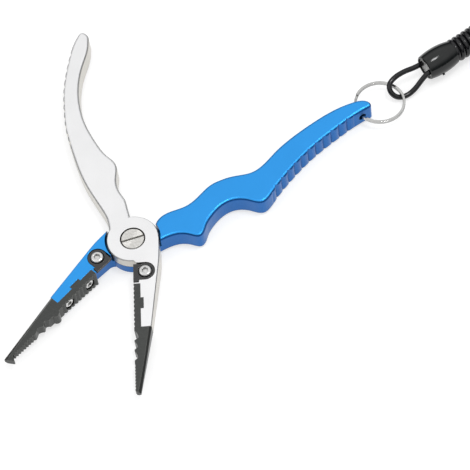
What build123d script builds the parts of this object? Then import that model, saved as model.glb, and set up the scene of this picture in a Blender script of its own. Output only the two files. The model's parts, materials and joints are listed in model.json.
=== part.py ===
from build123d import *
import math
import os

os.makedirs("parts", exist_ok=True)

# Fishing pliers with a coiled lanyard. Millimetres, +Z up, origin on the pivot axis at the
# underside. The pliers lie flat and open. Each arm is drawn closed, with its grip face on the
# X axis and the jaws towards +X, and is then turned open by half of the jaw opening.

# ---- arms ----
arm_thickness = 9.6
mid_height = arm_thickness / 2
jaw_opening = 44.6
disc_radius = 11.15
shoulder_radius = 11.9
lap_low = 4.70
lap_high = 4.95
rim_rounding = 1.2
jaw_chamfer = 0.4
taper_start = 15.0
taper_slope = 0.0543
grip_gap = 0.1

# ---- jaw inserts, cutters and their screws ----
insert_start = 22.15
insert_depth = 3.0
carrier_end = 42.35
carrier_width = 7.35
tip_reach = 72.3
tip_half_thickness = 1.25
key_span = (28.8, 33.8)
key_depth = 1.15
jaw_screw_places = (26.2, 38.2)
cutter_centre = (16.3, 5.1)
cutter_radius = 4.0
cutter_thickness = 2.3
cutter_top = 9.3
pocket_gap = 0.2

# ---- pivot ----
screw_head_radius = 5.05
screw_head_top = 9.5
screw_slot_angle = -52.8
head_seat = 7.6
barrel_radius = 3.2
flange_radius = 5.2
flange_height = 1.5
thread_radius = 2.0
running_gap = 0.05
spring_wire = 0.8
spring_radius = 5.2

# ---- lanyard hole and split ring ----
hole_centre = (-111.1, 29.7)
hole_direction = 76.0
hole_radius = 1.75
ring_radius = 10.6
ring_width = 1.2
ring_height = 1.5
ring_droop = 3.0

# ---- coiled lanyard ----
cord_diameter = 2.4
coil_diameter = 11.2
cap_height = 6.4
cap_length = 15.0
cap_radii = (5.5, 6.3, 5.3)
cap_bore = 4.8
nub_angle = -115.0
leg_spread = 2.85
ferrule_length = 6.5
clip_turn = 12.0
clip_tilt = 4.4
eye_radius = 3.5
eye_wire = 0.9
neck_radius = 1.5
collar_radius = 3.4
hook_length = 31.0
hook_width = 16.0
hook_wall = 3.2
hook_thickness = 5.0
collar_end = 12.0
gate_pivot = (19.0, 6.4)
gate_tip = 36.0

# Routes as (along, aside, up), from the lanyard hole along the lanyard.
front_loop_route = [
    (37.6, 4.7, 6.4), (35.6, 4.7, 6.4), (32.0, 4.9, 6.5), (27.6, 5.7, 6.8), (22.4, 5.6, 6.9),
    (18.3, 4.3, 6.2), (17.3, 1.5, 4.0), (19.2, -1.2, 1.6), (23.4, -2.5, 1.3), (28.0, -2.1, 2.2),
    (32.3, -1.3, 4.9), (35.6, -1.0, 6.4), (37.6, -1.0, 6.4),
]
coil_route = [
    (50.9, 1.85, 6.4), (61.5, 1.85, 6.4), (78.5, 4.6, 5.7), (95.5, 11.0, 5.7), (109.8, 22.0, 5.7),
    (120.3, 36.8, 5.7), (126.0, 54.2, 6.4), (127.7, 64.8, 6.4),
]
# The rear loop, from the coil's far end along its own direction.
rear_loop_route = [
    (13.4, 2.85, 6.4), (15.4, 2.85, 6.4), (18.6, 3.1, 6.3), (22.6, 4.2, 6.2), (26.6, 3.2, 6.1),
    (28.1, 0.0, 6.1), (26.6, -3.2, 6.1), (22.6, -4.2, 6.2), (18.6, -3.1, 6.3), (15.4, -2.85, 6.4),
    (13.4, -2.85, 6.4),
]


def turned(shape, degrees):
    return Rot(0, 0, degrees) * shape


def opened(shape, side):
    """Turn a piece drawn closed to its place on the open pliers: side +1 silver, -1 blue."""
    return turned(shape, side * jaw_opening / 2)


def half_thickness(x):
    """Half of the jaw's thickness at a distance x from the pivot."""
    return mid_height - max(0.0, x - taper_start) * taper_slope


def side_block(points, half_width=60.0):
    """A prism along Y with a profile given as (x, z) points."""
    profile = Plane.XZ * make_face(Polyline(*points, close=True))
    return extrude(profile, amount=half_width, both=True)


def disc(radius, low, high, x=0.0, y=0.0):
    cylinder = Cylinder(radius, high - low, align=(Align.CENTER, Align.CENTER, Align.MIN))
    return Pos(x, y, low) * cylinder


def block(low, high):
    size = [b - a for a, b in zip(low, high)]
    return Pos(*low) * Box(*size, align=(Align.MIN, Align.MIN, Align.MIN))


def carrier_outline():
    """The jaw carrier, on the +Y side, from the joint disc to the end that the insert meets."""
    outer = Spline((0, disc_radius), (7, 11.2), (13, 10.9), tangents=((1, 0), (1, -0.12)))
    web = Spline((14.0, 2.0), (12.2, 1.5), (10.8, 0.2), tangents=((-1, 0), (-0.6, -0.8)))
    rim = Polyline((13, 10.9), (carrier_end, carrier_width), (carrier_end, insert_depth),
                   (insert_start, insert_depth), (insert_start, 2.2), (14.0, 2.0))
    back = Polyline((10.8, 0.2), (0, 0), (0, disc_radius))
    return make_face(outer + rim + web + back)


def taper_wedges():
    """What is cut from above and below the jaws so that they thin towards their ends."""
    far = 60.0
    drop = (far - taper_start) * taper_slope
    upper = side_block([(taper_start, arm_thickness), (far, arm_thickness - drop),
                        (far, arm_thickness + 5), (taper_start, arm_thickness + 5)])
    lower = side_block([(taper_start, 0), (far, drop), (far, -5), (taper_start, -5)])
    return upper + lower


def rim_edges(solid, keep):
    """The edges round the top and bottom faces that keep(x, y), at an edge's middle, picks."""
    chosen = []
    for edge in solid.edges():
        box = edge.bounding_box()
        centre = edge.center()
        flat = box.size.Z < 0.6 * max(box.size.X, box.size.Y)
        if flat and box.size.X > 0.01 and keep(centre.X, centre.Y):
            chosen.append(edge)
    return chosen


def knuckles(wall, start, end, count, side):
    """The grooves between round ribs along a handle's outer wall, as one solid to cut away."""
    depth = 0.9
    places = [start + (end - start) * i / count for i in range(count + 1)]
    points = [wall @ place for place in places]
    inwards = [(wall % place).rotate(Axis.Z, 90) * side for place in places]
    inner = [point + way * depth for point, way in zip(points, inwards)]
    inner[0] = points[0]
    inner[-1] = points[-1]
    outer = [point - way * 2.0 for point, way in zip(points, inwards)]
    strip = make_face(Polyline(*inner, *reversed(outer), close=True))
    for first, second in zip(points, points[1:]):
        chord = second - first
        radius = (chord.length ** 2 / 4 + depth ** 2) / (2 * depth)
        centre = (first + second) / 2 + chord.normalized().rotate(Axis.Z, 90) * side * radius
        strip -= Pos(centre) * Circle(radius)
    return Pos(0, 0, -1) * extrude(strip, arm_thickness + 2)


# ---------------------------------------------------------------- arms

def blue_walls():
    """The blue handle's inner edge, rounded end and outer edge with its finger groove."""
    inner = Spline((-9.0, 4.4), (-11.6, 2.2), (-15.0, 1.35), (-19.9, 2.55), (-26.2, 5.7),
                   (-29.9, 6.5), (-35.4, 6.5), (-41.6, 6.85), (-45.7, 8.4), (-50.2, 11.0),
                   (-57.6, 16.2), (-61.5, 17.0), (-71.5, 16.7), (-80.8, 17.2), (-92.8, 19.1),
                   (-104.0, 22.0), (-112.6, 26.0))
    end = Spline(inner @ 1, (-115.9, 29.4), (-116.2, 31.3), (-114.3, 32.8),
                 tangents=(inner % 1, (1, -0.2)))
    outer = Spline(end @ 1, (-109.7, 31.5), (-104.3, 30.3), (-98.8, 29.5), (-90.9, 28.5),
                   (-82.0, 27.8), (-73.0, 27.9), (-64.0, 28.6), (-57.0, 29.6),
                   (-51.5, 30.5), (-48.8, 30.1), (-46.9, 28.0),
                   (-45.6, 25.0), (-43.5, 21.6), (-40, 18.9), (-34.7, 17.7), (-29.7, 18.1),
                   (-25.3, 19.3), (-21.6, 21.0), (-19.3, 20.9), (-17.7, 18.7), (-16.3, 15.8),
                   (-13.9, 13.0), (-10.6, 11.0), (-5.6, 9.2))
    return inner, end, outer


def silver_walls():
    """The silver handle's inner edge with its thumb rest, rounded end and bowed outer edge."""
    inner = Spline((-9.0, -0.9), (-12.5, -1.3), (-16.0, -2.1), (-19.9, -3.0), (-24.0, -5.2),
                   (-27.9, -6.6), (-32.5, -6.8), (-37.2, -6.6), (-39.8, -7.5), (-43.8, -11.0),
                   (-49.7, -14.9), (-56.3, -18.2), (-62.9, -20.8), (-70.3, -22.5),
                   (-77.6, -23.2), (-85.7, -22.8), (-92.0, -21.6), (-96.5, -20.3),
                   (-100.5, -19.3), (-104.7, -18.85))
    end = Spline(inner @ 1, (-109.3, -19.4), (-111.0, -21.6), (-108.9, -24.0),
                 tangents=(inner % 1, (1, -0.35)))
    outer = Spline(end @ 1, (-102.5, -26.5), (-96.8, -27.8), (-89.6, -29.1), (-83.1, -29.9),
                   (-76.6, -30.2), (-68.5, -29.9), (-58.9, -29.0), (-50.8, -27.1),
                   (-40.3, -24.2), (-29.9, -20.4), (-22.7, -16.8), (-16.0, -13.2),
                   (-11.3, -11.1), (-7.2, -10.3), (-4.2, -10.1))
    return inner, end, outer


def arm_body(walls, side):
    """An arm at full thickness: joint disc, tapered jaw carrier and handle, edges rounded."""
    inner, end, outer = walls
    handle = extrude(make_face(inner + end + outer + Line(outer @ 1, inner @ 0)), arm_thickness)
    handle = fillet(rim_edges(handle, lambda x, y: x < -12), rim_rounding)
    carrier = extrude(carrier_outline(), arm_thickness) - taper_wedges()
    carrier = chamfer(rim_edges(carrier, lambda x, y: x > 3 and y > 5), jaw_chamfer)
    if side < 0:
        carrier = mirror(carrier, about=Plane.XZ)
    joint = disc(disc_radius, 0, arm_thickness)
    joint = chamfer(joint.edges().filter_by(GeomType.CIRCLE), jaw_chamfer)
    return joint + carrier + handle


def cutter_pocket(side):
    """The recess in the top of a jaw carrier that holds a cutter."""
    x, y = cutter_centre
    low = cutter_top - cutter_thickness
    radius = cutter_radius + pocket_gap
    pocket = disc(radius, low, arm_thickness + 1, x, side * y)
    reach = sorted((side * y, -side * 1.0))
    pocket += block((x - radius, reach[0], low), (x + radius, reach[1], arm_thickness + 1))
    tail = sorted((side * 2.5, -side * 1.0))
    pocket += block((x, tail[0], low), (insert_start - 0.7, tail[1], arm_thickness + 1))
    return pocket


def jaw_holes(side):
    """The key notch, the blind holes for the insert's screws and the cutter's screw hole."""
    notch = sorted((side * insert_depth, side * (insert_depth + key_depth + 0.1)))
    holes = block((key_span[0] - 0.05, notch[0], -1), (key_span[1] + 0.05, notch[1], 11))
    for x in jaw_screw_places:
        screw_hole = Rot(90, 0, 0) * Cylinder(1.05, 6.4)
        holes += Pos(x, side * (insert_depth + 0.4), mid_height) * screw_hole
    holes += disc(1.05, 3.0, arm_thickness, cutter_centre[0], side * cutter_centre[1])
    return holes


def insert_seat_wall(side):
    """The thin wall that stands between a cutter and the jaw insert behind it."""
    span = sorted((side * 0.35, side * (insert_depth + 0.2)))
    low = cutter_top - cutter_thickness - 0.6
    return block((insert_start - 0.6, span[0], low), (insert_start - 0.05, span[1], 9.1))


def hole_cylinder(radius, length):
    """A cylinder along the lanyard hole's axis, in the blue arm's drawing position."""
    x, y = hole_centre
    return Pos(x, y, mid_height) * Rot(0, 0, hole_direction) * Rot(0, 90, 0) * Cylinder(
        radius, length)


def spring_pocket(low, high):
    return disc(6.5, low, high) - disc(barrel_radius + 0.6, low - 1, high + 1)


def blue_arm():
    body = arm_body(blue_walls(), -1) + insert_seat_wall(-1)
    body -= disc(shoulder_radius, lap_low, arm_thickness + 1)
    body -= knuckles(blue_walls()[2], 0.058, 0.503, 12, -1)
    body -= cutter_pocket(-1) + jaw_holes(-1)
    body -= disc(flange_radius, -1, flange_height) + disc(barrel_radius, -1, 6)
    body -= spring_pocket(2.85, 6)
    body -= disc(0.5, 1.9, 3, spring_radius, 0)
    return body - hole_cylinder(hole_radius, 14)


def silver_arm():
    body = arm_body(silver_walls(), 1) + insert_seat_wall(1)
    body -= disc(shoulder_radius, -1, lap_high)
    body -= knuckles(silver_walls()[2], 0.056, 0.577, 13, 1)
    body -= cutter_pocket(1) + jaw_holes(1)
    body -= disc(screw_head_radius + 0.35, head_seat, arm_thickness + 1)
    body -= disc(barrel_radius + running_gap, 3, 9)
    return body - spring_pocket(3, 6.4)


# ---------------------------------------------------------------- pivot

def pivot_screw():
    """The slotted pivot screw: a wide flat head on a threaded shank."""
    head = disc(screw_head_radius, head_seat + running_gap, screw_head_top)
    head = chamfer(head.edges().sort_by(Axis.Z)[-1], 0.3)
    screw = head + disc(thread_radius, 2.2, head_seat + 0.2)
    slot = block((-6, -0.45, screw_head_top - 1.1), (6, 0.45, screw_head_top + 1))
    return turned(screw - slot, screw_slot_angle)


def pivot_barrel_nut():
    """The flanged barrel that both arms turn on, threaded inside for the pivot screw."""
    nut = disc(flange_radius - 0.02, 0, flange_height)
    nut += disc(barrel_radius - 0.01, 0, head_seat + running_gap)
    nut -= disc(thread_radius + 0.03, 1.8, 9)
    return nut - block((-6, -0.5, -1), (6, 0.5, 0.9))


def pivot_washer():
    return disc(10.4, lap_low, lap_high - running_gap) - disc(6.7, 4, 6)


def return_spring():
    """The torsion spring round the barrel that opens the pliers."""
    turns = 3
    pitch = spring_wire + 0.08
    path = Helix(pitch, pitch * turns, spring_radius)
    section = Plane(origin=path @ 0, z_dir=path % 0) * Circle(spring_wire / 2)
    coil = Pos(0, 0, 3.3) * sweep(section, path=path, is_frenet=True)
    foot = Pos(spring_radius, 0, 3.3) * Sphere(spring_wire / 2)
    return coil + foot + disc(spring_wire / 2, 2.0, 3.3, spring_radius, 0)


# ---------------------------------------------------------------- jaws

def insert_profile():
    """Side view of a jaw insert: a deep grip pad, then a thinner nose down to the tip."""
    pad = half_thickness(insert_start)
    root = half_thickness(carrier_end)
    upper = [(insert_start, pad), (carrier_end, root), (49.0, 2.75), (56.0, 2.25),
             (tip_reach + 4, tip_half_thickness)]
    points = [(x, mid_height + h) for x, h in upper]
    points += [(x, mid_height - h) for x, h in reversed(upper)]
    return side_block(points)


def tooth_cut(x, depth, half_width):
    """One groove across the grip face, V-shaped in plan."""
    points = [(x - half_width, -0.5), (x - half_width, grip_gap), (x, grip_gap + depth),
              (x + half_width, grip_gap), (x + half_width, -0.5)]
    return extrude(make_face(Polyline(*points, close=True)), 12)


def scallop(start, deepest, crest, depth):
    """A rounded crimping notch across the grip face, from its start to a sharp crest."""
    halfway = ((start + deepest) / 2, grip_gap + 0.8 * depth)
    floor = ThreePointArc((start, grip_gap), halfway, (deepest, grip_gap + depth))
    rise = Polyline((deepest, grip_gap + depth), (crest, grip_gap), (crest, -0.5),
                    (start, -0.5), (start, grip_gap))
    return extrude(make_face(floor + rise), 12)


def tooth_cuts():
    """The coarse grip teeth and the fine tip teeth."""
    cuts = [tooth_cut(23.4 + 2.05 * i, 0.5, 0.7) for i in range(10)]
    return cuts + [tooth_cut(59.9 + 1.45 * i, 0.5, 0.62) for i in range(8)]


def jaw_screw_seats():
    """The counterbored screw holes through an insert, on the silver side."""
    seats = []
    for x in jaw_screw_places:
        seats.append(Pos(x, 0.5, mid_height) * Rot(90, 0, 0) * Cylinder(2.6, 3.0))
        seats.append(Pos(x, 2.0, mid_height) * Rot(90, 0, 0) * Cylinder(1.3, 6.0))
    return seats


def insert_outline(tip):
    """An insert in plan on the silver side; tip is its free end as a list of points."""
    outer_start = (carrier_end, carrier_width)
    corners = [(insert_start, grip_gap)] + tip + [
        outer_start, (carrier_end, insert_depth), (key_span[1], insert_depth),
        (key_span[1], insert_depth + key_depth), (key_span[0], insert_depth + key_depth),
        (key_span[0], insert_depth), (insert_start, insert_depth)]
    return make_face(Polyline(*corners, close=True))


def nose_bevels():
    """Bevels along the outer edges of the nose, above and below."""
    run = Vector(tip_reach - carrier_end, 2.4 - carrier_width, 0)
    heading = math.degrees(math.atan2(run.Y, run.X))
    drop = half_thickness(carrier_end) - tip_half_thickness
    slope = math.degrees(math.atan2(drop, run.length + 3))
    bevels = []
    for up in (1, -1):
        wedge = Rot(45, 0, 0) * Box(90, 1.5, 1.5)
        place = Pos(carrier_end, carrier_width, mid_height + up * half_thickness(carrier_end))
        bevels.append(place * Rot(0, 0, heading) * Rot(0, up * slope, 0) * wedge)
    return bevels


def jaw_insert(tip, bump, scallops):
    body = extrude(insert_outline(tip), arm_thickness)
    for x, y, radius in bump:
        body += disc(radius, 0, arm_thickness, x, y)
    body &= insert_profile()
    for cut in tooth_cuts() + scallops + jaw_screw_seats() + nose_bevels():
        body -= cut
    return body


def silver_jaw_insert():
    """The insert with a plain point and three crimping notches."""
    tip = [(tip_reach - 1.3, grip_gap), (tip_reach - 0.7, 0.5), (tip_reach, 2.4)]
    notches = [scallop(44.0, 47.2, 48.4, 1.65), scallop(48.9, 51.6, 52.6, 1.25),
               scallop(53.4, 56.4, 57.5, 1.25)]
    return jaw_insert(tip, [], notches)


def blue_jaw_insert():
    """The hooked insert: its point reaches past the other tip to open split rings."""
    tip = [(tip_reach - 1.3, grip_gap), (tip_reach - 0.8, 0.7), (tip_reach + 0.3, -1.4),
           (tip_reach + 0.8, -1.75), (tip_reach + 3.0, 1.8), (tip_reach + 2.7, 2.3)]
    notches = [scallop(50.6, 52.2, 53.6, 1.1), scallop(54.2, 56.4, 58.6, 1.1)]
    return mirror(jaw_insert(tip, [(46.4, 0.6, 1.9)], notches), about=Plane.XZ)


def socket_screw(head_radius, head_height, shank_radius, shank_length, socket_radius):
    """A domed socket screw standing on its head's seat at z = 0, shank downwards."""
    head = disc(head_radius, 0, head_height)
    head = fillet(head.edges().sort_by(Axis.Z)[-1], head_height * 0.55)
    screw = head + disc(shank_radius, -shank_length, 0.1)
    socket = extrude(RegularPolygon(socket_radius, 6), head_height)
    return screw - Pos(0, 0, head_height * 0.4) * socket


def jaw_screws():
    """The two screws that hold an insert on the silver arm, as separate solids."""
    screw = Rot(90, 0, 0) * socket_screw(2.35, 1.35, 1.02, 4.2, 1.25)
    return [Pos(x, 2.0, mid_height) * screw for x in jaw_screw_places]


def cutter():
    """A line cutter on the silver side: a round-backed plate with a bevelled straight edge."""
    x, y = cutter_centre
    low = cutter_top - cutter_thickness
    plate = disc(cutter_radius, low, cutter_top, x, y)
    plate += block((x - 3.6, grip_gap, low), (x + cutter_radius, y, cutter_top))
    plate += block((x, grip_gap, low), (insert_start - 0.95, 2.3, cutter_top))
    plate -= edge_bevel(low)
    plate -= disc(3.15, cutter_top - 0.7, 12, x, y)
    return plate - disc(1.6, 0, 12, x, y)


def edge_bevel(low):
    """The cutting edge's bevel: the underside rises towards the edge."""
    points = [(-1.0, low - 1), (1.3, low - 1), (1.3, low), (-0.2, low + 1.5), (-1.0, low + 1.5)]
    face = Plane.YZ * make_face(Polyline(*points, close=True))
    return extrude(face, 40)


def cutter_screw():
    x, y = cutter_centre
    screw = socket_screw(2.8, 1.6, 1.02, 4.6, 1.45)
    return Pos(x, y, cutter_top - 0.7) * screw


# ---------------------------------------------------------------- ring and lanyard

hole_row = Vector(*hole_centre).rotate(Axis.Z, -jaw_opening / 2)
lanyard_heading = 143.6


def along_lanyard(shape):
    """Place a piece drawn with the lanyard hole at the origin and the lanyard along +X."""
    return Pos(hole_row) * Rot(0, 0, lanyard_heading) * shape


def at_coil_end(shape):
    """Place a piece drawn from the coil's far end, along the coil's last run."""
    before, last = coil_route[-2:]
    heading = math.degrees(math.atan2(last[1] - before[1], last[0] - before[0]))
    return along_lanyard(Pos(last[0], last[1], 0) * Rot(0, 0, heading) * shape)


def split_ring():
    """Two flat turns of wire as one ring, through the lanyard hole and drooping outwards."""
    ring = disc(ring_radius + ring_width / 2, -ring_height / 2, ring_height / 2)
    ring -= disc(ring_radius - ring_width / 2, -2, 2)
    ring = chamfer(ring.edges(), 0.2)
    ring -= disc(20, -0.06, 0.06) - disc(ring_radius + ring_width / 2 - 0.2, -1, 1)
    tilted = Pos(0, 0, mid_height) * Rot(0, ring_droop, 0) * Pos(ring_radius, 0, 0) * ring
    return along_lanyard(tilted)


def tube(route, diameter):
    """A tube of one diameter along straight runs joined by arcs; prints the tightest arc."""
    points = [Vector(*point) for point in route]
    radii = []
    for before, corner, after in zip(points, points[1:], points[2:]):
        half_turn = math.radians((corner - before).get_angle(after - corner)) / 2
        reach = 0.45 * min((corner - before).length, (after - corner).length)
        radii.append(reach / math.tan(half_turn))
    line = FilletPolyline(*points, radius=radii)
    print("cord", diameter, "tightest arc", round(min(radii), 1), "length", round(line.length, 1))
    section = Plane(origin=line @ 0, z_dir=line % 0) * Circle(diameter / 2)
    return sweep(section, path=line)


def end_cap():
    """A barrel-shaped cap from the coil at x = 0 to its open mouth at x = cap_length."""
    front, middle, back = cap_radii
    side = ThreePointArc((0, back), (0.45 * cap_length, middle), (cap_length, front))
    rest = Polyline((cap_length, front), (cap_length, 0), (0, 0), (0, back))
    cap = revolve(make_face(side + rest), Axis.X)
    cap = chamfer(cap.edges().filter_by(GeomType.CIRCLE), 0.3)
    cap -= Rot(0, 90, 0) * disc(cap_bore, cap_length - 9, cap_length + 1)
    cap -= Rot(0, 90, 0) * disc(1.3, -1, cap_length)
    nub = Pos(0.6 * cap_length, 0, 0) * Rot(nub_angle, 0, 0) * disc(0.55, 5.6, 6.9)
    return Pos(0, 0, cap_height) * (cap + nub)


def end_ferrule():
    """The crimped plug inside a cap, with a socket for each leg of the cord's loop."""
    front = cap_length - 0.8
    plug = Rot(0, 90, 0) * disc(cap_bore - 0.05, front - ferrule_length, front)
    for side in (1, -1):
        leg = Pos(0, side * leg_spread, 0) * Rot(0, 90, 0) * disc(1.25, front - 1.0, front + 1)
        plug -= leg
    return Pos(0, 0, cap_height) * plug


def front_end(shape):
    """Turn an end piece to face the ring, at the near end of the coil."""
    x, y, _ = coil_route[0]
    return along_lanyard(Pos(x, y, 0) * Rot(0, 0, 180) * shape)


# ---------------------------------------------------------------- snap hook

def on_clip(shape):
    """Place a piece drawn with the swivel eye's centre at the origin and the clip along +X."""
    return at_coil_end(Pos(28.9, 0, 6.1) * Rot(0, 0, clip_turn) * Rot(0, clip_tilt, 0) * shape)


def along_x(radius, low, high):
    return Rot(0, 90, 0) * disc(radius, low, high)


def swivel_eye():
    """The eye on the cord's loop, with a stem whose head turns inside the hook's collar."""
    eye = Rot(90, 0, 0) * Torus(eye_radius, eye_wire)
    return eye + along_x(neck_radius, eye_radius - 0.3, 11.0) + along_x(2.3, 9.6, 11.0)


def hook_outline(inset):
    """The hook's rounded plan, moved inwards by an amount."""
    middle = collar_end + hook_length / 2
    plan = SlotOverall(hook_length - 2 * inset, hook_width - 2 * inset)
    return Pos(middle, 0) * plan


def hook_plate(inset, height):
    return Pos(0, 0, -height / 2) * extrude(hook_outline(inset), height)


def snap_hook():
    """The hook: collar, closed back, open side for the gate, and cheeks round the gate's root."""
    body = hook_plate(0, hook_thickness)
    body = chamfer(body.edges().filter_by(Plane.XY), 0.8)
    body += along_x(collar_radius, 6.2, collar_end + 3)
    body -= hook_plate(hook_wall, 20)
    body -= along_x(neck_radius + 0.06, 0, 10) + along_x(2.4, 9.5, 11.1)
    pin_x, pin_y = gate_pivot
    reach = gate_tip + 0.15
    body -= block((pin_x - 2.6, pin_y - 3.4, -1.5), (pin_x + 3, 20, 1.5))
    body -= block((pin_x + 2.3, 0, -9), (reach, 20, 9))
    return body - disc(0.77, -9, 9, pin_x, pin_y)


def hook_gate():
    """The gate: a bar from its pin to the hook's nose, thinner at the root."""
    pin_x, pin_y = gate_pivot
    bar = block((pin_x + 2.9, pin_y - 1.3, -2.2), (gate_tip, pin_y + 1.3, 2.2))
    bar = chamfer(bar.edges().filter_by(Axis.X), 0.5)
    root = disc(2.2, -1.4, 0.6, pin_x, pin_y)
    root += block((pin_x, pin_y - 1.3, -1.4), (pin_x + 3.2, pin_y + 1.3, 0.6))
    return bar + root - disc(0.82, -9, 9, pin_x, pin_y)


def gate_pin():
    pin_x, pin_y = gate_pivot
    return disc(0.75, -2.4, 2.4, pin_x, pin_y)


def gate_spring():
    """The small torsion spring beside the gate's root, round the pin."""
    path = Helix(0.4, 0.4, 1.5)
    section = Plane(origin=path @ 0, z_dir=path % 0) * Circle(0.18)
    return Pos(*gate_pivot, 0.85) * sweep(section, path=path, is_frenet=True)


# ---------------------------------------------------------------- parts

parts = {
    "blue_arm": opened(blue_arm(), -1),
    "silver_arm": opened(silver_arm(), 1),
    "pivot_screw": pivot_screw(),
    "pivot_barrel_nut": pivot_barrel_nut(),
    "pivot_washer": pivot_washer(),
    "return_spring": opened(return_spring(), -1),
    "blue_jaw_insert": opened(blue_jaw_insert(), -1),
    "silver_jaw_insert": opened(silver_jaw_insert(), 1),
    "blue_jaw_screws": Compound([opened(mirror(s, about=Plane.XZ), -1) for s in jaw_screws()]),
    "silver_jaw_screws": Compound([opened(s, 1) for s in jaw_screws()]),
    "blue_cutter": opened(mirror(cutter(), about=Plane.XZ), -1),
    "silver_cutter": opened(cutter(), 1),
    "blue_cutter_screw": opened(mirror(cutter_screw(), about=Plane.XZ), -1),
    "silver_cutter_screw": opened(cutter_screw(), 1),
    "split_ring": split_ring(),
    "front_loop_cord": along_lanyard(tube(front_loop_route, cord_diameter)),
    "front_end_cap": front_end(end_cap()),
    "front_ferrule": front_end(end_ferrule()),
    "coil_cord": along_lanyard(tube(coil_route, coil_diameter)),
    "rear_end_cap": at_coil_end(end_cap()),
    "rear_ferrule": at_coil_end(end_ferrule()),
    "rear_loop_cord": at_coil_end(tube(rear_loop_route, cord_diameter)),
    "swivel_eye": on_clip(swivel_eye()),
    "snap_hook": on_clip(snap_hook()),
    "hook_gate": on_clip(hook_gate()),
    "gate_pin": on_clip(gate_pin()),
    "gate_spring": on_clip(gate_spring()),
}

for name, shape in parts.items():
    export_step(shape, f"parts/{name}.step")
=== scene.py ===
import json
import math

import bmesh
import bpy
from mathutils import Matrix, Vector


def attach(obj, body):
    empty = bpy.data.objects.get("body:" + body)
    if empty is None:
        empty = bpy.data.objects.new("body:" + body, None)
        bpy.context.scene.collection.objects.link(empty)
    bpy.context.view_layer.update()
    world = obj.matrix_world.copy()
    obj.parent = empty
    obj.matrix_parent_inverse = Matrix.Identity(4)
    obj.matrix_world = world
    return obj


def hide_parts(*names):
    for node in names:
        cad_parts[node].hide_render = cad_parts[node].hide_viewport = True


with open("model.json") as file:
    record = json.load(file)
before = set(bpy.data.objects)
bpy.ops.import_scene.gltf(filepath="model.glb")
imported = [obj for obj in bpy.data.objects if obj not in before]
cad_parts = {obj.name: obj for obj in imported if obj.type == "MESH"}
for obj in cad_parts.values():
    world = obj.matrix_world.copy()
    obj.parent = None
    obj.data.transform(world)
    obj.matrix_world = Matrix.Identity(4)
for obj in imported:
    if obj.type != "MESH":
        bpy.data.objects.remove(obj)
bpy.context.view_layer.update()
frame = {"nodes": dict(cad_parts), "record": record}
nodes = frame["nodes"]
MM = 0.001

# ---------------------------------------------------------------- camera

AZIMUTH = math.radians(118.6)
ELEVATION = math.radians(57.5)
ROLL = math.radians(-9.6)
DISTANCE = 1.008
TARGET = Vector((-0.01445, 0.04089, 0.0096))
SENSOR_WIDTH = 36.0
FOCAL_LENGTH = 183.8298


def make_camera():
    """The camera looks down on the open pliers from behind the silver handle."""
    level = math.cos(ELEVATION)
    forward = Vector((-math.sin(AZIMUTH) * level, math.cos(AZIMUTH) * level, -math.sin(ELEVATION)))
    right = forward.cross(Vector((0, 0, 1))).normalized()
    up = right.cross(forward)
    tilted_right = right * math.cos(ROLL) + up * math.sin(ROLL)
    tilted_up = up * math.cos(ROLL) - right * math.sin(ROLL)
    axes = Matrix((tilted_right, tilted_up, -forward)).transposed().to_4x4()
    data = bpy.data.cameras.new("camera")
    data.sensor_width = SENSOR_WIDTH
    data.lens = FOCAL_LENGTH
    data.clip_start = 0.01
    camera = bpy.data.objects.new("camera", data)
    camera.matrix_world = Matrix.Translation(TARGET - forward * DISTANCE) @ axes
    bpy.context.scene.collection.objects.link(camera)
    bpy.context.scene.camera = camera


make_camera()

# ---------------------------------------------------------------- cord routes

# The lanyard hole's place under the handle, and the way the lanyard runs from it.
HOLE = Vector((-91.521, 69.636, 0)) * MM
HEADING = math.radians(143.6)
CORD = 2.4 * MM  # the cord's diameter
COIL = 11.2 * MM  # the coil's outside diameter
TURNS = 44
POINTS_PER_TURN = 16

# Routes as (along, aside, up) in millimetres, from the lanyard hole along the lanyard.
front_loop_route = [
    (37.6, 4.7, 6.4), (35.6, 4.7, 6.4), (32.0, 4.9, 6.5), (27.6, 5.7, 6.8), (22.4, 5.6, 6.9),
    (18.3, 4.3, 6.2), (17.3, 1.5, 4.0), (19.2, -1.2, 1.6), (23.4, -2.5, 1.3), (28.0, -2.1, 2.2),
    (32.3, -1.3, 4.9), (35.6, -1.0, 6.4), (37.6, -1.0, 6.4),
]
coil_route = [
    (50.9, 1.85, 6.4), (61.5, 1.85, 6.4), (78.5, 4.6, 5.7), (95.5, 11.0, 5.7), (109.8, 22.0, 5.7),
    (120.3, 36.8, 5.7), (126.0, 54.2, 6.4), (127.7, 64.8, 6.4),
]
# The rear loop's route, from the coil's far end along its last run.
rear_loop_route = [
    (13.4, 2.85, 6.4), (15.4, 2.85, 6.4), (18.6, 3.1, 6.3), (22.6, 4.2, 6.2), (26.6, 3.2, 6.1),
    (28.1, 0.0, 6.1), (26.6, -3.2, 6.1), (22.6, -4.2, 6.2), (18.6, -3.1, 6.3), (15.4, -2.85, 6.4),
    (13.4, -2.85, 6.4),
]


def along_lanyard(point):
    """A route point, in millimetres from the lanyard hole along the lanyard, in the frame."""
    return HOLE + Matrix.Rotation(HEADING, 3, "Z") @ (Vector(point) * MM)


def at_coil_end(point):
    """A rear route point, turned along the coil's last run, in the frame."""
    run = Vector(coil_route[-1]) - Vector(coil_route[-2])
    turned = Matrix.Rotation(math.atan2(run.y, run.x), 3, "Z") @ Vector(point)
    return along_lanyard((coil_route[-1][0] + turned.x, coil_route[-1][1] + turned.y, turned.z))


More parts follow.
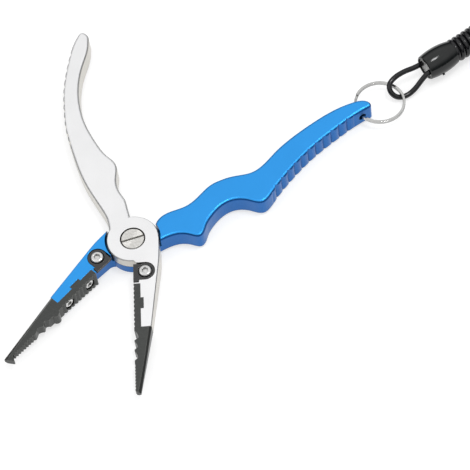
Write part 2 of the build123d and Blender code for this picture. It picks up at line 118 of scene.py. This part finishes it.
def spline_curve(name, points, thickness=0.0):
    """A curve object of one smooth NURBS spline, round in section, with closed ends."""
    data = bpy.data.curves.new(name, "CURVE")
    data.dimensions = "3D"
    spline = data.splines.new("NURBS")
    spline.points.add(len(points) - 1)
    for slot, point in zip(spline.points, points):
        slot.co = (*point, 1.0)
    spline.order_u = 3
    spline.use_endpoint_u = True
    spline.resolution_u = 4
    data.bevel_depth = thickness / 2
    data.bevel_resolution = 5
    data.use_fill_caps = thickness > 0
    curve = bpy.data.objects.new(name, data)
    bpy.context.scene.collection.objects.link(curve)
    return curve


def curve_mesh(curve):
    """The mesh that a curve makes; the curve is removed."""
    graph = bpy.context.evaluated_depsgraph_get()
    mesh = bpy.data.meshes.new_from_object(curve.evaluated_get(graph))
    bpy.data.objects.remove(curve)
    return mesh


def spline_points(points):
    """Points close together along the smooth line that a list of points guides."""
    mesh = curve_mesh(spline_curve("probe", points))
    line = [vertex.co.copy() for vertex in mesh.vertices]
    bpy.data.meshes.remove(mesh)
    return line


def cord_object(name, points):
    """A round cord as a mesh, and the line that it follows."""
    mesh = curve_mesh(spline_curve(name, points, CORD))
    mesh.name = name
    mesh.shade_smooth()
    cord = bpy.data.objects.new(name, mesh)
    bpy.context.scene.collection.objects.link(cord)
    return cord, spline_points(points)


def stations(points, count):
    """Evenly spaced (place, direction) pairs along a line of points."""
    lengths = [0.0]
    for first, second in zip(points, points[1:]):
        lengths.append(lengths[-1] + (second - first).length)
    found = []
    index = 0
    for step in range(count + 1):
        goal = lengths[-1] * step / count
        while index < len(points) - 2 and lengths[index + 1] < goal:
            index += 1
        run = points[index + 1] - points[index]
        share = (goal - lengths[index]) / max(run.length, 1e-9)
        found.append((points[index] + run * share, run.normalized()))
    return found


def make_coil():
    """The close coil of cord, wound round the coil's route from cap to cap."""
    centre_line = spline_points([along_lanyard(point) for point in coil_route])
    winding = (COIL - CORD) / 2
    places = stations(centre_line, TURNS * POINTS_PER_TURN)
    helix = []
    for step, (place, ahead) in enumerate(places):
        aside = ahead.cross(Vector((0, 0, 1))).normalized()
        above = aside.cross(ahead)
        angle = 2 * math.pi * step / POINTS_PER_TURN
        helix.append(place + (aside * math.cos(angle) + above * math.sin(angle)) * winding)
    return cord_object("coiled_cord", helix)


front_loop, front_line = cord_object("front_loop", [along_lanyard(p) for p in front_loop_route])
coil, coil_line = make_coil()
rear_loop, rear_line = cord_object("rear_loop", [at_coil_end(p) for p in rear_loop_route])

# ---------------------------------------------------------------- split ring

# Millimetres and degrees. The wire's section is given as (outward, up) points.
WIRE_SECTION = [(0.6, -0.22), (0.6, 0.22), (0.46, 0.36), (-0.46, 0.36), (-0.6, 0.22),
                (-0.6, -0.22), (-0.46, -0.36), (0.46, -0.36)]
RING_RADIUS = 10.6
RING_DROOP = 3.0
HOLE_HEIGHT = 4.8
TURN_RISE = 0.38
CROSSING_ARC = 34.0
WIRE_START = 160.0
WIRE_LENGTH = 684.0
WIRE_STEP = 3.0


def make_split_ring():
    """Two turns of flat wire with open ends, crossing from the lower turn to the upper one."""
    lift = Matrix.Translation((0, 0, HOLE_HEIGHT))
    tilt = lift @ Matrix.Rotation(math.radians(RING_DROOP), 4, "Y")
    shape = bmesh.new()
    rows = []
    for step in range(round(WIRE_LENGTH / WIRE_STEP) + 1):
        turn = WIRE_STEP * step
        climb = min(max((turn - 360.0 + CROSSING_ARC) / CROSSING_ARC, 0.0), 1.0)
        level = TURN_RISE * (2 * climb * climb * (3 - 2 * climb) - 1)
        angle = math.radians(turn + WIRE_START)
        row = []
        for outward, up in WIRE_SECTION:
            reach = RING_RADIUS + outward
            point = (RING_RADIUS + reach * math.cos(angle), reach * math.sin(angle), level + up)
            row.append(shape.verts.new(along_lanyard(tilt @ Vector(point))))
        rows.append(row)
    corners = len(WIRE_SECTION)
    for first, second in zip(rows, rows[1:]):
        for side in range(corners):
            after = (side + 1) % corners
            shape.faces.new((first[side], second[side], second[after], first[after]))
    shape.faces.new(rows[0])
    shape.faces.new(list(reversed(rows[-1])))
    bmesh.ops.recalc_face_normals(shape, faces=shape.faces)
    mesh = bpy.data.meshes.new("double_turn_ring")
    shape.to_mesh(mesh)
    shape.free()
    mesh.shade_smooth()
    mesh.set_sharp_from_angle(angle=math.radians(30))
    ring = bpy.data.objects.new("double_turn_ring", mesh)
    bpy.context.scene.collection.objects.link(ring)
    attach(ring, "ring")
    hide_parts("split_ring")
    return ring


ring = make_split_ring()
cords = ((front_loop, "front_loop_cord"), (coil, "coil_cord"), (rear_loop, "rear_loop_cord"))
for piece, node in cords:
    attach(piece, "lanyard")
    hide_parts(node)

# ---------------------------------------------------------------- materials


class Shader:
    """A material's node tree with short calls to add and link nodes. Lengths are in metres."""

    def __init__(self, name):
        self.material = bpy.data.materials.new(name)
        self.material.use_nodes = True
        self.tree = self.material.node_tree
        self.surface = self.tree.nodes["Principled BSDF"]
        self.place = self.add("ShaderNodeTexCoord").outputs["Object"]
        self.height = None

    def add(self, kind, **values):
        node = self.tree.nodes.new(kind)
        for key, value in values.items():
            if hasattr(node, key):
                setattr(node, key, value)
            else:
                node.inputs[key].default_value = value
        return node

    def link(self, source, target):
        self.tree.links.new(source, target)

    def set(self, **values):
        for key, value in values.items():
            self.surface.inputs[key.replace("_", " ")].default_value = value

    def noise(self, scale, detail=3.0, roughness=0.55, stretch=None):
        """Noise over the object; scale is in features per metre."""
        node = self.add("ShaderNodeTexNoise", Scale=scale, Detail=detail, Roughness=roughness)
        source = self.place
        if stretch:
            mapping = self.add("ShaderNodeMapping")
            mapping.inputs["Scale"].default_value = stretch
            self.link(source, mapping.inputs["Vector"])
            source = mapping.outputs["Vector"]
        self.link(source, node.inputs["Vector"])
        return node.outputs["Fac"]

    def ramp(self, source, stops):
        """A colour ramp with stops as (position, colour)."""
        node = self.add("ShaderNodeValToRGB")
        elements = node.color_ramp.elements
        while len(elements) < len(stops):
            elements.new(0.5)
        for element, (position, colour) in zip(elements, stops):
            element.position = position
            element.color = (*colour, 1.0)
        self.link(source, node.inputs["Fac"])
        return node.outputs["Color"]

    def spread(self, source, low, high, target):
        """Drive a value socket between low and high by a 0-1 source."""
        node = self.add("ShaderNodeMapRange")
        node.inputs["To Min"].default_value = low
        node.inputs["To Max"].default_value = high
        self.link(source, node.inputs["Value"])
        self.link(node.outputs["Result"], target)

    def mix(self, factor, first, second, mode="MIX"):
        node = self.add("ShaderNodeMix", data_type="RGBA", blend_type=mode)
        for value, index in ((factor, 0), (first, 6), (second, 7)):
            if hasattr(value, "is_output"):
                self.link(value, node.inputs[index])
            elif index == 0:
                node.inputs[index].default_value = value
            else:
                node.inputs[index].default_value = (*value, 1.0)
        return node.outputs[2]

    def painted_recess_shade(self, tone, reach, dark=0.25):
        """Darken a tone with painted shade in gaps and recesses, from ambient occlusion up to a
        reach in metres across.
        """
        node = self.add("ShaderNodeAmbientOcclusion", samples=8, Distance=reach)
        shade = self.ramp(node.outputs["AO"], [(0.30, (dark, dark, dark)), (0.72, (1, 1, 1))])
        return self.mix(1.0, tone, shade, "MULTIPLY")

    def painted_edge_highlight(self, tone, bright, radius):
        """Lighten a tone along the piece's sharp edges with a painted highlight line."""
        rounded = self.add("ShaderNodeBevel", samples=6, Radius=radius)
        flat = self.add("ShaderNodeNewGeometry")
        product = self.add("ShaderNodeVectorMath", operation="DOT_PRODUCT")
        self.link(rounded.outputs["Normal"], product.inputs[0])
        self.link(flat.outputs["Normal"], product.inputs[1])
        mask = self.ramp(product.outputs["Value"], [(0.88, (1, 1, 1)), (0.985, (0, 0, 0))])
        return self.mix(mask, tone, bright)

    def bump(self, source, depth, soften=0.0):
        """Add relief of a depth in metres; soften shades sharp edges as rounded by a radius."""
        node = self.add("ShaderNodeBump", Strength=1.0, Distance=depth)
        self.link(source, node.inputs["Height"])
        if self.height is not None:
            self.link(self.height, node.inputs["Normal"])
        elif soften:
            edge = self.add("ShaderNodeBevel", samples=6, Radius=soften)
            self.link(edge.outputs["Normal"], node.inputs["Normal"])
        self.height = node.outputs["Normal"]
        self.link(self.height, self.surface.inputs["Normal"])


def levelness(shader):
    """How level a surface lies: 1 on flat faces, 0 on walls that stand up."""
    normal = shader.add("ShaderNodeTexCoord").outputs["Normal"]
    split = shader.add("ShaderNodeSeparateXYZ")
    shader.link(normal, split.inputs["Vector"])
    absolute = shader.add("ShaderNodeMath", operation="ABSOLUTE")
    shader.link(split.outputs["Z"], absolute.inputs[0])
    return absolute.outputs["Value"]


def anodised(name, face, edge, shaded_wall_tone, rough):
    """Bead-blasted anodised aluminium, with painted shade: rounded edges and walls take darker
    tones than the level faces.
    """
    shader = Shader(name)
    blast = shader.noise(scale=6500, detail=4.0, roughness=0.65)
    cloud = shader.noise(scale=55, detail=2.0)
    # Painted light and shade: level faces keep the face tone, the rounded edge band gets a dark
    # painted-shade line tone, walls a darker painted-shade tone.
    level = levelness(shader)
    edges = shader.ramp(level, [(0.08, (0, 0, 0)), (0.30, (1, 1, 1))])
    faces = shader.ramp(level, [(0.64, (0, 0, 0)), (0.84, (1, 1, 1))])
    tone = shader.mix(faces, shader.mix(edges, shaded_wall_tone, edge), face)
    shade = shader.ramp(cloud, [(0.3, (0.94, 0.94, 0.94)), (0.7, (1.0, 1.0, 1.0))])
    # Painted shade: the tone is darkened in gaps and recesses by ambient occlusion.
    tone = shader.painted_recess_shade(shader.mix(1.0, tone, shade, "MULTIPLY"), reach=0.0016)
    shader.link(tone, shader.surface.inputs["Base Color"])
    shader.set(Metallic=0.85)
    shader.spread(blast, rough - 0.06, rough + 0.08, shader.surface.inputs["Roughness"])
    shader.bump(blast, depth=0.000012, soften=0.00022)
    return shader.material


def dark_steel(name, base, rough):
    """Plated tool steel: dark, satin, with fine grinding marks, painted highlights along sharp
    edges and painted shade in recesses.
    """
    shader = Shader(name)
    grind = shader.noise(scale=900, roughness=0.6, stretch=(6.0, 1.0, 6.0))
    grain = shader.noise(scale=5200, roughness=0.6)
    lighter = tuple(min(1.0, part * 1.5) for part in base)
    tone = shader.ramp(grind, [(0.3, base), (0.75, lighter)])
    # Painted highlight: a light line along the sharp edges.
    tone = shader.painted_edge_highlight(tone, bright=(0.21, 0.21, 0.20), radius=0.00024)
    # Painted shade: the tone is darkened in gaps and recesses by ambient occlusion.
    tone = shader.painted_recess_shade(tone, reach=0.0012)
    shader.link(tone, shader.surface.inputs["Base Color"])
    shader.set(Metallic=0.75)
    shader.spread(grain, rough - 0.07, rough + 0.1, shader.surface.inputs["Roughness"])
    shader.bump(grain, depth=0.000008, soften=0.00018)
    return shader.material


def bright_steel(name, base, rough):
    """Bright steel: nearly mirror, with hairline scratches and faint smears."""
    shader = Shader(name)
    hair = shader.noise(scale=2600, detail=2.0, roughness=0.5, stretch=(1.0, 9.0, 1.0))
    smear = shader.noise(scale=180, detail=2.0)
    darker = tuple(part * 0.85 for part in base)
    tone = shader.ramp(smear, [(0.3, darker), (0.7, base)])
    # Painted shade: the tone is darkened in gaps and recesses by ambient occlusion.
    tone = shader.painted_recess_shade(tone, reach=0.0012, dark=0.12)
    shader.link(tone, shader.surface.inputs["Base Color"])
    shader.set(Metallic=1.0)
    shader.spread(smear, rough - 0.05, rough + 0.1, shader.surface.inputs["Roughness"])
    shader.bump(hair, depth=0.000003, soften=0.00012)
    return shader.material


def turned_steel(name):
    """The pivot screw's faced head: fine rings round the pivot axis."""
    shader = Shader(name)
    wave = shader.add("ShaderNodeTexWave", wave_type="RINGS", rings_direction="Z",
                      Scale=900.0, Distortion=0.6, Detail=1.0)
    shader.link(shader.place, wave.inputs["Vector"])
    grain = shader.noise(scale=900, roughness=0.6, stretch=(3.0, 1.0, 1.0))
    tone = shader.ramp(grain, [(0.25, (0.52, 0.51, 0.48)), (0.75, (0.88, 0.87, 0.84))])
    # Painted shade: the slot and the gap round the head are darkened by ambient occlusion.
    tone = shader.painted_recess_shade(tone, reach=0.0010, dark=0.04)
    shader.link(tone, shader.surface.inputs["Base Color"])
    lathe = shader.add("ShaderNodeTangent", direction_type="RADIAL", axis="Z")
    shader.link(lathe.outputs["Tangent"], shader.surface.inputs["Tangent"])
    shader.set(Metallic=1.0, Anisotropic=0.85)
    shader.spread(grain, 0.26, 0.40, shader.surface.inputs["Roughness"])
    shader.bump(wave.outputs["Fac"], depth=0.000012, soften=0.00015)
    return shader.material


def gloss_black(name, base, rough):
    """Glossy black plastic with fine moulding unevenness."""
    shader = Shader(name)
    wavy = shader.noise(scale=260, detail=2.0)
    fine = shader.noise(scale=2400)
    lighter = tuple(part * 1.8 for part in base)
    tone = shader.ramp(wavy, [(0.3, base), (0.8, lighter)])
    shader.link(tone, shader.surface.inputs["Base Color"])
    shader.set(Specular_IOR_Level=0.42)
    shader.spread(fine, rough - 0.04, rough + 0.08, shader.surface.inputs["Roughness"])
    shader.bump(wavy, depth=0.00002, soften=0.00012)
    shader.bump(fine, depth=0.000004)
    return shader.material


def plain_plastic(name, base, rough):
    """Satin plastic with a fine moulded grain."""
    shader = Shader(name)
    fine = shader.noise(scale=1800)
    darker = tuple(part * 0.8 for part in base)
    tone = shader.ramp(fine, [(0.3, darker), (0.7, base)])
    shader.link(tone, shader.surface.inputs["Base Color"])
    shader.spread(fine, rough - 0.05, rough + 0.1, shader.surface.inputs["Roughness"])
    shader.bump(fine, depth=0.000008, soften=0.0001)
    return shader.material


# Each slot's finish, then its tones and roughness. Anodised slots list a face tone, then an edge
# tone and a wall tone that paint shade on rounded edges and walls.
finishes = {
    "blue_anodised": (anodised, (0.035, 0.33, 0.82), (0.010, 0.085, 0.30), (0.022, 0.145, 0.44),
                      0.30),
    "silver_anodised": (anodised, (0.88, 0.88, 0.885), (0.36, 0.36, 0.35), (0.64, 0.62, 0.57),
                        0.29),
    "turned_steel": (turned_steel,),
    "spring_steel": (bright_steel, (0.35, 0.35, 0.36), 0.3),
    "washer": (plain_plastic, (0.82, 0.82, 0.79), 0.4),
    "jaw_steel": (dark_steel, (0.052, 0.054, 0.052), 0.30),
    "cutter_steel": (dark_steel, (0.050, 0.050, 0.050), 0.28),
    "screw_steel": (bright_steel, (0.72, 0.72, 0.71), 0.18),
    "ring_steel": (bright_steel, (0.56, 0.56, 0.55), 0.08),
    "cord": (gloss_black, (0.004, 0.004, 0.005), 0.08),
    "cap": (gloss_black, (0.005, 0.006, 0.006), 0.10),
    "ferrule": (plain_plastic, (0.42, 0.42, 0.41), 0.3),
    "clip_metal": (bright_steel, (0.74, 0.74, 0.75), 0.16),
}
materials = {slot: finish[0](slot, *finish[1:]) for slot, finish in finishes.items()}


def paint(piece, slot_name):
    """Give a piece its material on every slot that it has."""
    if not piece.material_slots:
        piece.data.materials.append(None)
    for slot in piece.material_slots:
        slot.link = "OBJECT"
        slot.material = materials[slot_name]


for part in frame["record"]["subparts"]:
    paint(nodes[part["node"]], part["material_slot"])
for piece, node in cords:
    paint(piece, "cord")
paint(ring, "ring_steel")

# ---------------------------------------------------------------- floor and light

FLOOR_HALF_WIDTH = 6.0
FLOOR_LEVEL = -0.0004
FLOOR_GLOW = 0.62
LOW_SURROUND = (0.07, 0.072, 0.08, 1.0)
HIGH_SURROUND = (0.93, 0.93, 0.93, 1.0)
BACKDROP = (0.86, 0.86, 0.86, 1.0)
SURROUND_STRENGTH = 1.10


def make_floor():
    """A pale floor under the object, which glows a little like a light table."""
    mesh = bpy.data.meshes.new("floor")
    shape = bmesh.new()
    bmesh.ops.create_grid(shape, x_segments=1, y_segments=1, size=FLOOR_HALF_WIDTH)
    shape.to_mesh(mesh)
    shape.free()
    floor = bpy.data.objects.new("floor", mesh)
    floor.location = (0, 0, FLOOR_LEVEL)
    bpy.context.scene.collection.objects.link(floor)
    shader = Shader("floor")
    shader.set(Base_Color=(0.5, 0.5, 0.5, 1.0), Roughness=0.9, Specular_IOR_Level=0.1)
    shader.set(Emission_Color=(1.0, 1.0, 1.0, 1.0), Emission_Strength=FLOOR_GLOW)
    mesh.materials.append(shader.material)


def make_world():
    """A studio surround: bright overhead, dark low down, with a plain pale backdrop."""
    world = bpy.data.worlds.new("studio")
    bpy.context.scene.world = world
    world.use_nodes = True
    tree = world.node_tree
    place = tree.nodes.new("ShaderNodeTexCoord")
    split = tree.nodes.new("ShaderNodeSeparateXYZ")
    ramp = tree.nodes.new("ShaderNodeValToRGB")
    for element, position, colour in zip(ramp.color_ramp.elements, (0.25, 0.68),
                                         (LOW_SURROUND, HIGH_SURROUND)):
        element.position = position
        element.color = colour
    seen = tree.nodes.new("ShaderNodeLightPath")
    backdrop = tree.nodes.new("ShaderNodeMix")
    backdrop.data_type = "RGBA"
    backdrop.inputs[7].default_value = BACKDROP
    tree.links.new(place.outputs["Generated"], split.inputs["Vector"])
    tree.links.new(split.outputs["Z"], ramp.inputs["Fac"])
    tree.links.new(seen.outputs["Is Camera Ray"], backdrop.inputs[0])
    tree.links.new(ramp.outputs["Color"], backdrop.inputs[6])
    tree.links.new(backdrop.outputs[2], tree.nodes["Background"].inputs["Color"])
    tree.nodes["Background"].inputs["Strength"].default_value = SURROUND_STRENGTH


def make_light(name, towards, distance, size, power):
    """A square soft box in a direction from the object, aimed at it."""
    data = bpy.data.lights.new(name, "AREA")
    data.shape = "SQUARE"
    data.size = size
    data.energy = power
    light = bpy.data.objects.new(name, data)
    direction = Vector(towards).normalized()
    light.location = TARGET + direction * distance
    light.rotation_euler = (-direction).to_track_quat("-Z", "Y").to_euler()
    bpy.context.scene.collection.objects.link(light)


make_floor()
make_world()
make_light("key", (-0.15, 0.20, 0.95), distance=1.1, size=0.20, power=2.2)
make_light("fill", (0.6, -0.9, 0.9), distance=1.4, size=0.9, power=1.6)

bpy.context.scene.view_settings.view_transform = "Standard"
bpy.context.scene.view_settings.look = "None"

# ---------------------------------------------------------------- finish

bpy.context.view_layer.update()
